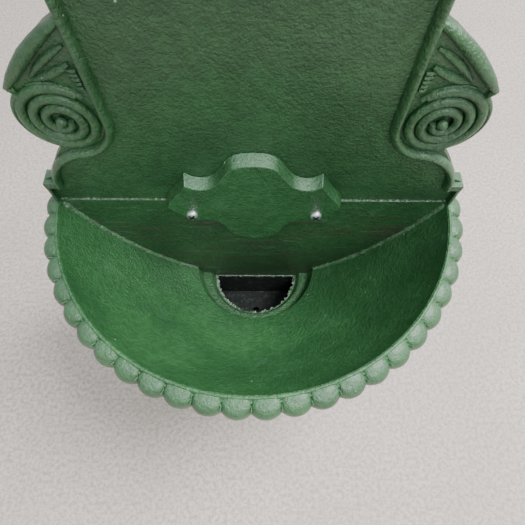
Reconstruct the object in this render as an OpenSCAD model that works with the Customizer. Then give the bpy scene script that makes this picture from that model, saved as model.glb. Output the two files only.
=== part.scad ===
// Free-standing cast-iron drinking fountain: a half-round gadrooned basin on a
// short drum foot, an ornamental back plate and a brass screw-down tap.
// Local frame of the drawing: X right, -Y front, Z up, y = 0 on the front face
// of the back plate, z = 0 in the plane of the basin's rim.

/* [Overall] */
// Inner radius of the basin's rim
bowl_r = 200; // [160:1:250]
// Depth of the bowl below its rim
bowl_d = 196; // [160:1:240]
// Height of the back plate above the rim
plate_up = 440; // [360:1:540]
// Setback of the plate's front face behind the part's origin
plate_set = 10; // [8:1:12]

/* [Basin] */
// Fullness of the bowl's flank near the rim
bowl_p = 1.2; // [1.1:0.05:1.6]
// Fullness of the bowl's lower corner
bowl_q = 2.1; // [1.8:0.05:2.4]
// Number of bands that make up the bowl's profile
bowl_bands = 12; // [8:1:24]
// Wall thickness of the basin casting
wall_t = 8; // [6:0.5:10]
// Distance of the bowl's axis behind the plate's front face
bowl_y = 5; // [5:0.5:8]
// Thickness of the basin's flat back wall
back_t = 7; // [6:0.5:9]
// Radius of one gadroon bead
bead_r = 14; // [12:0.5:15]
// Number of gadroon beads round the rim
bead_n = 26; // [20:2:32]
// Width of the narrow raised lip
lip_w = 3.5; // [3:0.5:5]
// Height of the recessed seat ring above the lowest point of the bowl's curve
ring_rise = 15; // [12:1:20]
// Thickness of the basin's base under the seat ring
base_t = 21; // [17:1:26]
// Width of the seat ring in front of the drain opening
ring_w = 9; // [6:0.5:12]
// Radius of the drain opening
hole_r = 62; // [50:1:75]
// Width of the thin lip that narrows the drain opening
drain_lip = 6; // [0:0.5:8]
// Thickness of the drain lip
lip_t = 4.5; // [3:0.5:8]
// Depth of the first step below the seat ring
step_d = 6.5; // [4:0.5:10]
// Distance of the drain opening's centre in front of the plate's face
hole_y = 4; // [2:0.5:6]

/* [Sump and foot] */
// Depth of the sump's floor below the joint with the basin
sump_d = 60; // [50:1:75]
// Height of the sump's floor above the ground
under_h = 38; // [34:1:60]
// Thickness of the joint gasket
gasket_t = 1.5; // [1:0.5:3]
// Thickness of the sump's round wall
sump_wall = 8; // [6:0.5:10]
// Width of the bolting flanges in front of the sump's wall
flange_w = 17; // [16:0.5:24]
// Thickness of the sump's flanges and floor
flange_t = 8; // [7:0.5:10]
// Distance of the small drain hole in front of the plate's face
drain_y = 34; // [28:1:42]
// Radius of the small drain hole in the floor
drain_r = 5.5; // [4:0.5:7]
// Radius of the drain spigot under the floor
spigot_r = 12; // [10:0.5:14]
// Length of the drain spigot under the floor
spigot_len = 8; // [4:1:10]
// Distance of the flange bolts from the flange's edge
bolt_edge = 9; // [8:0.5:10]
// Angle between the front flange bolt and each side one
bolt_step = 62; // [55:1:70]

/* [Back plate] */
// Thickness of the plate's panel
panel_t = 8; // [6:0.5:10]
// Overhang of the plate beyond the basin's inner radius on each side
plate_over = 2.5; // [1:0.5:6]
// Width of the plain ledge outside the border at the rim
ledge_w = 11.5; // [8:0.5:16]
// Width of the raised border
border_w = 7; // [6:0.5:9]
// Height of the border in front of the panel
border_h = 6; // [4:0.5:8]
// Radius of the border's two turns beside the volutes
turn_r = 37; // [34:0.5:38]
// Height above the rim where the border's lower turn begins
shoulder_z = 35; // [32:1:40]
// Depth of the border casting behind the panel's front face
casting_d = 12; // [10:0.5:14]
// Depth from the panel's front face to the wall behind the plate
wall_gap = 24; // [22:1:28]
// Height of the arched top above the cornice
arch_rise = 70; // [56:1:90]
// Overhang of the cornice beyond the border on each side
cornice_over = 11; // [8:1:16]
// Radius of the ball on top
finial_r = 14; // [10:1:18]
// Distance of the wall holes from the panel's edge and from the cornice
hole_inset = 24; // [20:1:30]
// Vertical distance between the wall holes
hole_pitch = 100; // [80:1:125]

/* [Cartouche] */
// Half width of the cartouche at its side points
cart_w = 87; // [80:1:90]
// Half height of the cartouche
cart_h = 66; // [60:1:70]
// Height of the cartouche's middle above the rim
cart_lift = 6; // [0:1:10]
// Thickness of the cartouche
cart_t = 12; // [9:0.5:14]
// Distance of each cartouche screw from the cartouche's side point
screw_inset = 23; // [20:0.5:26]
// Distance of the cartouche screws below the rim
screw_d = 8; // [7:1:18]

/* [Tap] */
// Distance of the tap's inlet below the cornice
tap_drop = 40; // [36:1:60]
// Distance of the tap's spindle in front of the plate's face
tap_y = 60; // [58:0.5:64]
// Reach of the spout beyond the spindle
spout_reach = 42; // [40:0.5:46]
// Pitch of the spindle's thread, raised by the jumper in one turn
lead = 3; // [2:0.5:3]
// Length of one handle arm from the spindle to the ball's centre
arm_len = 32; // [28:1:34]

/* [Fits] */
// Gap between faces of cast pieces that are bolted together
seat_gap = 0.1; // [0:0.05:0.3]
// Radial clearance of screws in their holes
bolt_gap = 0.3; // [0.2:0.1:0.5]
// Radial clearance of screws in tapped holes and nuts
thread_gap = 0.05; // [0.05:0.05:0.1]
// Radial running clearance of the spindle and jumper
run_gap = 0.1; // [0.05:0.05:0.15]
// Gap between closed valve pieces that move apart
valve_gap = 0.3; // [0.3:0.05:0.4]

/* [Hidden] */
$fn = 64;
eps = 0.01;
back_y = -2;
m6 = 3;
m8 = 4;
washer_t = 1.6;
lower_front = back_y + back_t + seat_gap;
casting_front = back_y - cart_t;
ring_d = bowl_d - ring_rise;
joint_d = ring_d + base_t;
floor_d = joint_d + sump_d;
rim_z = floor_d + under_h;
ring_r = bowl_y + hole_y + hole_r + ring_w;
flange_r = bowl_y + hole_y + hole_r + sump_wall + flange_w;
bolt_circle = flange_r - bolt_edge;
sump_top = -joint_d - gasket_t;
foot_top = -rim_z + flange_t;
block_t = 12;
pad_h = 10;
plate_w = bowl_r + plate_over;
panel_w = plate_w - ledge_w - border_w - 2 * turn_r;
turn_x = panel_w + turn_r;
leaf_x = turn_x - 53;
leaf_z = shoulder_z + 2 * turn_r - 14;
leaf_r = 90;
arch_top = plate_up - 2 * finial_r + 6;
cornice_z = arch_top - arch_rise;
cornice_w = panel_w + border_w + cornice_over;
arch_w = cornice_w - 1;
arch_r = (arch_w * arch_w + arch_rise * arch_rise) / (2 * arch_rise);
tap_z = cornice_z - tap_drop;
screw_x = cart_w - screw_inset;
cart_lobe = 40;
cart_x = cart_w - 19;
cart_z = cart_h - 27;
volute_z = shoulder_z + 2 * turn_r;
bead_pitch = 180 / (bead_n - 0.4);
bead_path = bowl_r + lip_w + bead_r * 0.16;
jumper_lift = 1.5 * lead;
seat_z = 10;
barrel_top = 30;
collar_z = seat_z + 22 + jumper_lift;
tower_z = collar_z + 3.3;
gland_z = tower_z + 18;
hub_z = gland_z + 16;

// ---- helpers ----

// Puts the drawing's local frame into the part's own frame on the floor.
module place() translate([0, -plate_set, rim_z]) children();

// Extrudes a front-view outline from y0 back to y1.
module slab(y0, y1) translate([0, y1, 0]) rotate([90, 0, 0]) linear_extrude(y1 - y0) children();

// Keeps a front-view outline and its mirror image.
module both() {
    children();
    mirror([1, 0, 0]) children();
}

// A cylinder along Y from y0 back to y1.
module bar(r, y0, y1) translate([0, y1, 0]) rotate([90, 0, 0]) cylinder(r = r, h = y1 - y0);

// A cylinder along Z from z0 up to z1.
module post(r, z0, z1) translate([0, 0, z0]) cylinder(r = r, h = z1 - z0);

// A hexagonal prism of a given width across flats, along Z.
module hex(flats, z0, z1) translate([0, 0, z0]) cylinder(d = flats / cos(30), h = z1 - z0, $fn = 6);

// Everything in front of the plane y = y_cut and above z_low, as a cutter.
module in_front(y_cut, z_low = -500) translate([-400, y_cut - 800, z_low]) cube([800, 800, 1200]);

// ---- basin ----

function bowl_half(t, grow) = (bowl_r + grow) * pow(1 - pow(t, bowl_p), 1 / bowl_q);

// Half of the bowl's section, enlarged by grow for the outside.
module bowl_section(grow) polygon(concat([[0, 0]],
    [for (i = [0 : bowl_bands]) [bowl_half(i / bowl_bands, grow), -(bowl_d + grow) * i / bowl_bands]]));

module bowl_solid(grow) rotate_extrude() bowl_section(grow);

module beads() for (i = [0 : bead_n - 1])
    rotate([0, 0, -90 + (i - bead_n / 2 + 0.5) * bead_pitch])
        translate([bead_path, 0, -bead_r - 1]) sphere(r = bead_r);

module basin() color("darkgreen") place() difference() {
    intersection() {
        translate([0, bowl_y, 0]) union() {
            bowl_solid(wall_t);
            post(flange_r, -joint_d, 13 - ring_d);
            post(bowl_r + lip_w, -bead_r, 0);
            post(bowl_r + lip_w + 5, -2 * bead_r + 3, -3);
            beads();
        }
        in_front(back_y + back_t, -joint_d);
    }
    intersection() {
        translate([0, bowl_y, 0]) union() {
            bowl_solid(0);
            post(bowl_r, -eps, 1);
            post(ring_r, -ring_d, 30 - ring_d);
        }
        in_front(back_y);
    }
    intersection() {
        union() {
            translate([0, bowl_y, 0]) post(ring_r - 5, -ring_d - step_d, 1 - ring_d);
            translate([0, -hole_y, 0]) post(hole_r, -joint_d + lip_t, 1 - ring_d);
            translate([0, -hole_y, 0]) post(hole_r - drain_lip, -joint_d - 1, 1 - ring_d);
        }
        in_front(back_y);
    }
    screw_places() bar(m6 + bolt_gap, back_y - 1, back_y + back_t + 1);
    flange_bolt_places() post(m6 + thread_gap, -joint_d - 1, -joint_d + 13);
}

module flange_bolt_places() for (a = [-bolt_step, 0, bolt_step])
    translate([0, bowl_y, 0]) rotate([0, 0, a]) translate([0, -bolt_circle, 0]) children();

module screw_places() for (s = [-1, 1]) translate([s * screw_x, 0, -screw_d]) children();

// ---- back plate ----

// The border's run on the right-hand side, from the seam up to the cornice.
module border_outline() {
    translate([panel_w, volute_z]) square([border_w, cornice_z - volute_z]);
    intersection() {
        translate([turn_x, volute_z]) difference() {
            circle(r = turn_r);
            circle(r = turn_r - border_w);
        }
        translate([panel_w, shoulder_z + turn_r - 1]) square([turn_r, turn_r + 1]);
    }
    intersection() {
        translate([turn_x, shoulder_z]) difference() {
            circle(r = turn_r + border_w);
            circle(r = turn_r);
        }
        translate([turn_x - 1, shoulder_z]) square([turn_r + border_w + 2, turn_r + border_w]);
    }
    translate([turn_x + turn_r, 0]) square([border_w, shoulder_z]);
}

// The plate's outline above the rim, right-hand half.
module upper_outline() {
    square([plate_w, shoulder_z + 4]);
    square([panel_w + border_w, cornice_z]);
    intersection() {
        translate([turn_x, shoulder_z]) circle(r = turn_r + border_w);
        square([2 * plate_w, 2 * plate_w]);
    }
    square([turn_x, shoulder_z + turn_r]);
    translate([turn_x, volute_z]) circle(r = turn_r);
    leaf_outline();
}

// The leaf that rises from the volute to the panel's side.
module leaf_outline() intersection() {
    translate([leaf_x, leaf_z]) circle(r = leaf_r);
    translate([panel_w, shoulder_z + turn_r]) square([120, 200]);
}

module arch_outline() intersection() {
    translate([0, arch_top - arch_r]) circle(r = arch_r);
    translate([-cornice_w, cornice_z - 1]) square([2 * cornice_w, arch_rise + 2]);
}

// The plate's outline below the rim, behind the basin and the sump.
module lower_outline() {
    both() bowl_section(wall_t);
    translate([-flange_r, -rim_z]) square([2 * flange_r, rim_z - ring_d + 13]);
    translate([-bowl_r + 8, -20]) square([2 * (bowl_r - 8), 30]);
}

module wall_hole_places() for (s = [-1, 1], k = [0, 1])
    translate([s * (panel_w - hole_inset), 0, cornice_z - hole_inset - k * hole_pitch]) children();

// One volute: rings stepping forward to a button.
module volute() translate([turn_x, 0, volute_z]) {
    for (k = [0 : 2]) difference() {
        bar(turn_r - 1 - 11 * k, -border_h - 2 * k, 1);
        bar(turn_r - 7 - 11 * k, -border_h - 2 * k - 1, 2);
    }
    bar(turn_r - 8, -border_h + 4, 1);
    translate([0, -border_h, 0]) rotate([90, 0, 0]) sphere(r = 6);
}

module leaf() {
    slab(-border_h, 1) difference() {
        leaf_outline();
        translate([leaf_x, leaf_z]) circle(r = leaf_r - 12);
    }
    slab(-border_h + 3, 1) leaf_outline();
}

// A plain shell with ribs in the arched top.
module shell() translate([0, 0, cornice_z + 10]) {
    rotate([90, 0, 0]) sphere(r = 10);
    for (a = [-60 : 20 : 60]) rotate([0, a, 0]) post(3, 18, 46);
}

module back_plate() color("darkgreen") place() difference() {
    union() {
        slab(0, panel_t) {
            both() upper_outline();
            arch_outline();
        }
        slab(lower_front, casting_d) lower_outline();
        slab(-border_h, casting_d) both() border_outline();
        slab(1, casting_d) both() translate([turn_x, shoulder_z]) intersection() {
            circle(r = turn_r + border_w + ledge_w);
            translate([turn_r * 0.5, -shoulder_z]) square([60, shoulder_z + turn_r]);
        }
        slab(-border_h, casting_d) difference() {
            arch_outline();
            translate([0, arch_top - arch_r]) circle(r = arch_r - border_w);
        }
        slab(-border_h - 3, casting_d) translate([-cornice_w, cornice_z - 6])
            square([2 * cornice_w, 12]);
        both() volute();
        both() leaf();
        intersection() {
            shell();
            in_front(2);
        }
        translate([0, 3, plate_up - finial_r]) rotate([90, 0, 0]) sphere(r = finial_r);
        wall_hole_places() bar(12, 1, wall_gap);
        slab(lower_front, wall_gap) translate([-flange_r, -rim_z]) square([2 * flange_r, pad_h]);
    }
    wall_hole_places() bar(4.5, -20, wall_gap + 1);
    screw_places() bar(m6 + bolt_gap, 0, casting_d + 1);
    foot_bolt_places() bar(m8 + bolt_gap, 0, casting_d + 1);
    translate([0, 0, tap_z]) bar(10.8, -1, casting_d + 1);
}

// ---- cartouche and its screws ----

module cartouche_outline() translate([0, cart_lift]) difference() {
    union() {
        translate([0, cart_h - cart_lobe]) circle(r = cart_lobe);
        translate([0, cart_lobe - cart_h]) circle(r = cart_lobe);
        polygon([[-cart_w, 0], [-cart_x, cart_z], [cart_x, cart_z],
            [cart_w, 0], [cart_x, -cart_z], [-cart_x, -cart_z]]);
    }
    for (sx = [-1, 1], sz = [-1, 1]) {
        translate([sx * (cart_x - 16), sz * (cart_z + 12)]) circle(r = 17);
        translate([sx * (cart_w + 9), sz * (cart_z + 2)]) circle(r = 28);
    }
}

module cartouche() color("seagreen") place() difference() {
    union() {
        slab(casting_front, back_y - seat_gap) cartouche_outline();
        slab(back_y - 1, -seat_gap) intersection() {
            cartouche_outline();
            translate([-100, seat_gap]) square([200, 100]);
        }
    }
    screw_places() bar(m6 + bolt_gap, casting_front - 1, 1);
}

module cartouche_screws() color("silver") place() screw_places() {
    bar(m6, casting_front - 1, casting_d + washer_t + 6.5);
    bar(6, casting_front - 2.4, casting_front);
    intersection() {
        translate([0, casting_front + 2.4, 0]) sphere(r = 7.2);
        bar(6, casting_front - 4.8, casting_front - 1);
    }
}

module cartouche_washers() color("silver") place() screw_places() difference() {
    bar(6.2, casting_d + eps, casting_d + washer_t);
    bar(m6 + bolt_gap, casting_d - 1, casting_d + washer_t + 1);
}

module cartouche_nuts() color("silver") place() screw_places() difference() {
    translate([0, casting_d + washer_t + eps, 0]) rotate([-90, 0, 0]) hex(10, 0, 5);
    bar(m6 + thread_gap, casting_d, casting_d + 10);
}

// ---- sump and foot ----

module foot_bolt_places() for (s = [-1, 1])
    translate([s * (hole_r - 20), 0, 2 * pad_h - rim_z]) children();

module sump() color("darkgreen") place() difference() {
    intersection() {
        union() {
            translate([0, bowl_y, 0]) post(flange_r, sump_top - flange_t, sump_top);
            translate([0, -hole_y, 0]) post(hole_r + sump_wall, -rim_z, sump_top);
            translate([0, bowl_y, 0]) post(flange_r, -rim_z, foot_top);
            translate([-hole_r, back_y - block_t, -rim_z + 6]) cube([2 * hole_r, 30, under_h - 12]);
        }
        in_front(lower_front - seat_gap);
    }
    intersection() {
        translate([0, -hole_y, 0]) post(hole_r, -floor_d, sump_top + 1);
        in_front(back_y);
    }
    difference() {
        intersection() {
            translate([0, -hole_y, 0]) post(hole_r, -rim_z - 1, -floor_d - flange_t);
            in_front(back_y - block_t);
        }
        translate([0, -drain_y, 0]) post(spigot_r, -floor_d - flange_t - spigot_len, -floor_d);
    }
    translate([0, -drain_y, 0]) post(drain_r, -rim_z - 1, -floor_d + 1);
    for (s = [-1, 1]) translate([0, -hole_y, foot_top]) rotate([0, 0, s * 52])
        translate([-17, -hole_r - sump_wall - 5, 0]) cube([34, 30, under_h - 2 * flange_t - 4]);
    flange_bolt_places() post(m6 + bolt_gap, sump_top - flange_t - 1, sump_top + 1);
    foot_bolt_places() bar(m8 + thread_gap, -9, 10);
}

module sump_gasket() color("dimgray") place() difference() {
    intersection() {
        translate([0, bowl_y, 0]) post(flange_r, sump_top + eps, -joint_d - eps);
        in_front(lower_front - seat_gap);
    }
    intersection() {
        translate([0, -hole_y, 0]) post(hole_r, sump_top - 1, -joint_d + 1);
        in_front(back_y);
    }
    flange_bolt_places() post(m6 + bolt_gap, sump_top - 1, -joint_d + 1);
}

module sump_bolts() color("silver") place() flange_bolt_places() {
    post(m6, sump_top - flange_t - 1, -joint_d + 10);
    hex(10, sump_top - flange_t - 4, sump_top - flange_t);
}

module foot_washers() color("silver") place() foot_bolt_places() difference() {
    bar(8, casting_d + eps, casting_d + washer_t);
    bar(m8 + bolt_gap, casting_d - 1, casting_d + washer_t + 1);
}

module foot_bolts() color("silver") place() foot_bolt_places() {
    bar(m8, -6, casting_d + washer_t + 1);
    translate([0, casting_d + washer_t + eps, 0]) rotate([-90, 0, 0]) hex(13, 0, 5.3);
}

// ---- tap, drawn about the point where inlet and spindle axes meet ----

module tap() place() translate([0, -tap_y, tap_z]) children();

module wall_rosette() color("gold") tap() difference() {
    union() {
        bar(26, tap_y - 4, tap_y - seat_gap);
        bar(19, tap_y - 9, tap_y - 3);
    }
    bar(10.8, tap_y - 20, tap_y + 1);
}

module tail_washer() color("dimgray") tap() difference() {
    bar(17, tap_y + panel_t + eps, tap_y + panel_t + 2);
    bar(10.8, tap_y, tap_y + 20);
}

module tail_locknut() color("gold") tap() difference() {
    translate([0, tap_y + panel_t + 2 + eps, 0]) rotate([-90, 0, 0]) hex(30, 0, 7);
    bar(10.45 + thread_gap, tap_y, tap_y + 30);
}

module tap_body() color("gold") tap() difference() {
    union() {
        bar(10.45, 0, tap_y + 20);
        bar(10.2, 0, tap_y + 42);
        bar(13, 0, tap_y - 9.1);
        bar(15.5, tap_y - 16, tap_y - 9.1);
        post(17, -12, barrel_top);
        translate([0, 0, -12]) sphere(r = 10);
        translate([0, 0, seat_z + 7]) bar(10, -spout_reach + 14, 0);
        translate([0, -spout_reach + 14, seat_z - 7]) spout_bend(10);
        translate([0, -spout_reach, 0]) post(10, -24, seat_z - 7);
    }
    bar(6, 0, tap_y + 43);
    post(11, -6, seat_z - 4);
    post(5, 0, seat_z + 1);
    post(13, seat_z, barrel_top + 1);
    translate([0, 0, seat_z + 7]) bar(6, -spout_reach + 14, 0);
    translate([0, -spout_reach + 14, seat_z - 7]) spout_bend(6);
    translate([0, -spout_reach, 0]) post(6, -25, seat_z - 7);
}

// A quarter turn from the horizontal arm down into the outlet.
module spout_bend(r) rotate([0, 0, 180]) rotate([90, 0, 90])
    rotate_extrude(angle = 90) translate([14, 0]) circle(r = r);

module spout_nozzle() color("gold") tap() translate([0, -spout_reach, 0]) difference() {
    union() {
        post(12, -27, -16);
        post(9, -29, -26);
    }
    post(10 + thread_gap, -24, -15);
    post(6, -30, -20);
}

module bonnet_gasket() color("dimgray") tap() difference() {
    post(17, barrel_top + eps, barrel_top + 1.5);
    post(13.2, barrel_top - 1, barrel_top + 2);
}

module bonnet() color("gold") tap() difference() {
    union() {
        post(13 - thread_gap, seat_z + 14, barrel_top + 2);
        hex(32, barrel_top + 1.5 + eps, tower_z);
        post(11, tower_z - 1, gland_z);
    }
    post(8, seat_z, tower_z);
    post(5, tower_z - 1, gland_z + 1);
    post(7.5, gland_z - 8, gland_z + 1);
}

module gland_packing() color("dimgray") tap() difference() {
    post(7.4, gland_z - 7.9, gland_z - 3);
    post(5.05, gland_z - 9, gland_z - 2);
}

module gland_nut() color("gold") tap() difference() {
    hex(25, gland_z - 6, gland_z + 8);
    difference() {
        post(11 + thread_gap, gland_z - 7, gland_z + 0.2);
        post(7.4, gland_z - 2.9, gland_z + 1);
    }
    post(5.1, gland_z - 8, gland_z + 9);
}

module spindle() color("gold") tap() difference() {
    union() {
        post(4, collar_z - 13, collar_z + 1);
        post(7.6, collar_z, tower_z - valve_gap);
        post(5 - run_gap, tower_z - 1, hub_z);
        translate([-3.3, -3.3, hub_z - 1]) cube([6.6, 6.6, 11]);
    }
    post(2, hub_z, hub_z + 11);
}

module handle() color("gold") tap() difference() {
    union() {
        post(10, hub_z + eps, hub_z + 12);
        for (a = [45 : 90 : 315]) rotate([0, 0, a]) translate([0, 0, hub_z + 6]) {
            rotate([0, 90, 0]) cylinder(r = 3.8, h = arm_len);
            translate([arm_len, 0, 0]) sphere(r = 6);
        }
    }
    translate([-3.35, -3.35, hub_z - 1]) cube([6.7, 6.7, 12]);
    post(2.2, hub_z, hub_z + 13);
}

module handle_screw() color("silver") tap() {
    post(1.95, hub_z + 2, hub_z + 13);
    post(5, hub_z + 12 + eps, hub_z + 14.5);
}

module jumper() color("gold") tap() difference() {
    union() {
        post(9, seat_z + 3 + valve_gap + eps, seat_z + 7);
        post(7, seat_z + 6, seat_z + 20);
    }
    post(4 + run_gap, seat_z + 8.5, seat_z + 21);
    post(2.1, seat_z, seat_z + 8);
}

module valve_washer() color("dimgray") tap() difference() {
    post(8.4, seat_z + valve_gap, seat_z + 3 + valve_gap);
    post(2.1, seat_z, seat_z + 5);
}

module washer_screw() color("silver") tap() {
    post(2.05, seat_z - 1, seat_z + 7.5);
    post(3.6, seat_z - 2.4, seat_z + valve_gap - eps);
}

back_plate();
basin();
cartouche();
cartouche_screws();
cartouche_washers();
cartouche_nuts();
sump();
sump_gasket();
sump_bolts();
foot_bolts();
foot_washers();
wall_rosette();
tail_washer();
tail_locknut();
tap_body();
bonnet_gasket();
bonnet();
gland_packing();
gland_nut();
spout_nozzle();
spindle();
handle();
handle_screw();
jumper();
valve_washer();
washer_screw();
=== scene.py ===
"""Looks of a green cast-iron drinking fountain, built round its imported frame."""

import math
import random

import bmesh
import bpy
from mathutils import Matrix, Vector


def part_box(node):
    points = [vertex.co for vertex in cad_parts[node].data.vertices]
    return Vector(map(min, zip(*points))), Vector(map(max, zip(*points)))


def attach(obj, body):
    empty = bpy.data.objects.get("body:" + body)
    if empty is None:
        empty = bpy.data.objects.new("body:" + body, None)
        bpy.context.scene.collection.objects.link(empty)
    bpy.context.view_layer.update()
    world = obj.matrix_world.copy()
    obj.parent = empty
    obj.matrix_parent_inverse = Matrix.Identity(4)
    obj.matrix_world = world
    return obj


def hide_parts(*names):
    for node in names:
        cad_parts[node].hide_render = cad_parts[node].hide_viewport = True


bl_info = {
    "name": "Cast-Iron Drinking Fountain",
    "version": (1, 0, 0),
    "blender": (4, 5, 0),
    "location": "View3D > Sidebar > Fountain",
    "description": "Models and paints a half-round cast-iron drinking fountain",
    "category": "Object",
}

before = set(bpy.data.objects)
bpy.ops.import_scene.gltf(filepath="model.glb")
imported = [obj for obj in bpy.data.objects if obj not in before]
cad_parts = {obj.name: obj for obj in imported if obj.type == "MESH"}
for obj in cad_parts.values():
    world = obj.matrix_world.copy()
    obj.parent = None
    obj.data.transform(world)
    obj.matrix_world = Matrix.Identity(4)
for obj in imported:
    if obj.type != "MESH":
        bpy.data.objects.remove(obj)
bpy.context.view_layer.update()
RIM_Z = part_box("basin")[1][2]
BACK_BEHIND_FACE = 0.005  # from the plate's face to the back of the basin's wall
FACE_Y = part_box("basin")[1][1] - BACK_BEHIND_FACE


# ---- sizes and colours a user may change ----


def length(name, description, default, low=0.0, high=1.0):
    """A length in metres for the sidebar."""
    return bpy.props.FloatProperty(name=name, description=description, default=default, min=low,
                                   max=high, unit="LENGTH", subtype="DISTANCE", precision=4)


def paint(name, description, default):
    """A linear colour for the sidebar."""
    return bpy.props.FloatVectorProperty(name=name, description=description, default=default,
                                         min=0.0, max=1.0, size=3, subtype="COLOR")


class FountainSizes(bpy.types.PropertyGroup):
    """Sizes of the castings, the same as the frame's."""

    bowl_radius: length("Bowl radius", "Inner radius of the basin's rim", 0.200)
    bowl_depth: length("Bowl depth", "Depth of the bowl's curve below the rim", 0.196)
    bowl_setback: length("Bowl axis", "Distance of the bowl's axis behind the plate's face", 0.005)
    wall: length("Wall", "Thickness of the basin's wall", 0.008)
    back_front: length("Back wall face", "Distance of the basin's back wall before the plate", 0.002)
    lip: length("Lip", "Width of the raised lip", 0.0032)
    tongue: length("Tongue height", "Height of the gadroon tongues", 0.027)
    ring_radius: length("Ring radius", "Outer radius of the seat ring", 0.080)
    ring_depth: length("Ring depth", "Depth of the seat ring below the rim", 0.181)
    joint_depth: length("Joint depth", "Depth of the joint with the sump below the rim", 0.202)
    flange_radius: length("Flange radius", "Radius of the bolted flanges", 0.096)
    panel: length("Panel thickness", "Thickness of the back plate's panel", 0.008)
    panel_half: length("Panel half width", "Half width of the plain panel", 0.110)
    border: length("Border width", "Width of the raised border", 0.007)
    relief: length("Border relief", "Height of the border before the panel", 0.006)
    casting: length("Casting depth", "Depth of the plate's edge behind its face", 0.012)
    cornice: length("Cornice height", "Height of the cornice above the rim", 0.348)
    top: length("Top", "Height of the plate above the rim", 0.440)


class FountainColours(bpy.types.PropertyGroup):
    """Linear colours of the finishes."""

    green: paint("Green", "Gloss paint on the castings", (0.036, 0.122, 0.042))
    green_dark: paint("Dark green", "Thick or sheltered paint", (0.021, 0.080, 0.027))
    # Lightened, this colour is also the painted sheen on what faces up.
    green_pale: paint("Pale green", "Thin and chalky paint", (0.105, 0.205, 0.125))
    chalk: paint("Chalk", "Scuffs and chipped edges", (0.42, 0.50, 0.42))
    # This colour is also the painted shade that darkens the back wall towards its bottom.
    rust: paint("Dust", "Brown dust that settles in corners", (0.046, 0.046, 0.032))
    zinc: paint("Zinc", "Plated steel screws", (0.82, 0.84, 0.86))
    brass: paint("Brass", "Tap castings", (0.58, 0.40, 0.16))
    ground: paint("Floor", "Plain studio floor", (0.53, 0.475, 0.43))


def sizes():
    return bpy.context.scene.fountain_sizes


def colours():
    return bpy.context.scene.fountain_colours


# ---- shaping helpers ----


def place(x, y, z):
    """A point given about the middle of the rim and the plate's face, in the frame."""
    return Vector((x, FACE_Y + y, RIM_Z + z))


def move(bm, reach):
    """Moves the whole mesh by a vector."""
    bmesh.ops.translate(bm, verts=bm.verts, vec=reach)


def stretch(bm, factors):
    """Scales the whole mesh about the origin."""
    bmesh.ops.scale(bm, vec=factors, verts=bm.verts)


def swing(bm, angle, axis, centre=(0.0, 0.0, 0.0)):
    """Turns the whole mesh about an axis through a point."""
    bmesh.ops.rotate(bm, verts=bm.verts, cent=centre, matrix=Matrix.Rotation(angle, 3, axis))


def thicken(bm, reach):
    """Makes the faces a solid that reaches from where they are to a vector away."""
    grown = bmesh.ops.extrude_face_region(bm, geom=bm.faces[:], use_keep_orig=True)
    verts = [v for v in grown["geom"] if isinstance(v, bmesh.types.BMVert)]
    bmesh.ops.translate(bm, verts=verts, vec=reach)


class Outline:
    """Walks round an outline in the front view, in metres about the rim's middle."""

    def __init__(self, x, z):
        self.bm = bmesh.new()
        self.last = self.bm.verts.new((x, 0.0, z))

    def to(self, x, z):
        """Goes straight to a point."""
        made = bmesh.ops.extrude_vert_indiv(self.bm, verts=[self.last])
        self.last = made["verts"][0]
        self.last.co = (x, 0.0, z)
        return self

    def arc(self, x, z, degrees, steps=12):
        """Turns about a centre, anticlockwise when positive."""
        made = bmesh.ops.spin(self.bm, geom=[self.last], cent=(x, 0.0, z), axis=(0.0, -1.0, 0.0),
                              dvec=(0.0, 0.0, 0.0), angle=math.radians(degrees), steps=steps,
                              use_duplicate=False)
        self.last = [v for v in made["geom_last"] if isinstance(v, bmesh.types.BMVert)][0]
        return self

    def along(self, points):
        """Follows a list of points."""
        for x, z in points:
            self.to(x, z)
        return self

    def mirrored(self):
        """Adds the left-hand half."""
        bmesh.ops.mirror(self.bm, geom=self.bm.verts[:] + self.bm.edges[:], axis="X",
                         matrix=Matrix.Identity(4), merge_dist=1e-5)
        bmesh.ops.remove_doubles(self.bm, verts=self.bm.verts, dist=1e-5)
        return self

    def drafted(self, front, back, slope):
        """Fills the outline as a face whose sides slope back to a larger rear face."""
        bm = self.bm
        bmesh.ops.remove_doubles(bm, verts=bm.verts, dist=1e-5)
        bmesh.ops.contextual_create(bm, geom=bm.edges[:])
        move(bm, (0.0, front, 0.0))
        rear = bm.verts[:]
        bmesh.ops.inset_region(bm, faces=bm.faces[:], thickness=slope, depth=0.0, use_boundary=True,
                               use_even_offset=True)
        bmesh.ops.translate(bm, verts=rear, vec=(0.0, back - front, 0.0))
        bmesh.ops.holes_fill(bm, edges=[e for e in bm.edges if e.is_boundary], sides=0)
        return bm

    def slab(self, front, back):
        """Fills the outline and gives it its thickness from front to back."""
        bm = self.bm
        bmesh.ops.remove_doubles(bm, verts=bm.verts, dist=1e-5)
        if any(len(v.link_edges) == 1 for v in bm.verts):
            ends = [v for v in bm.verts if len(v.link_edges) == 1]
            bm.edges.new(ends)
        bmesh.ops.contextual_create(bm, geom=bm.edges[:])
        move(bm, (0.0, front, 0.0))
        thicken(bm, (0.0, back - front, 0.0))
        return bm


def join(bm, *others):
    """Adds other meshes to one and frees them."""
    for other in others:
        spare = bpy.data.meshes.new("spare")
        other.to_mesh(spare)
        other.free()
        bm.from_mesh(spare)
        bpy.data.meshes.remove(spare)
    return bm


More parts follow.
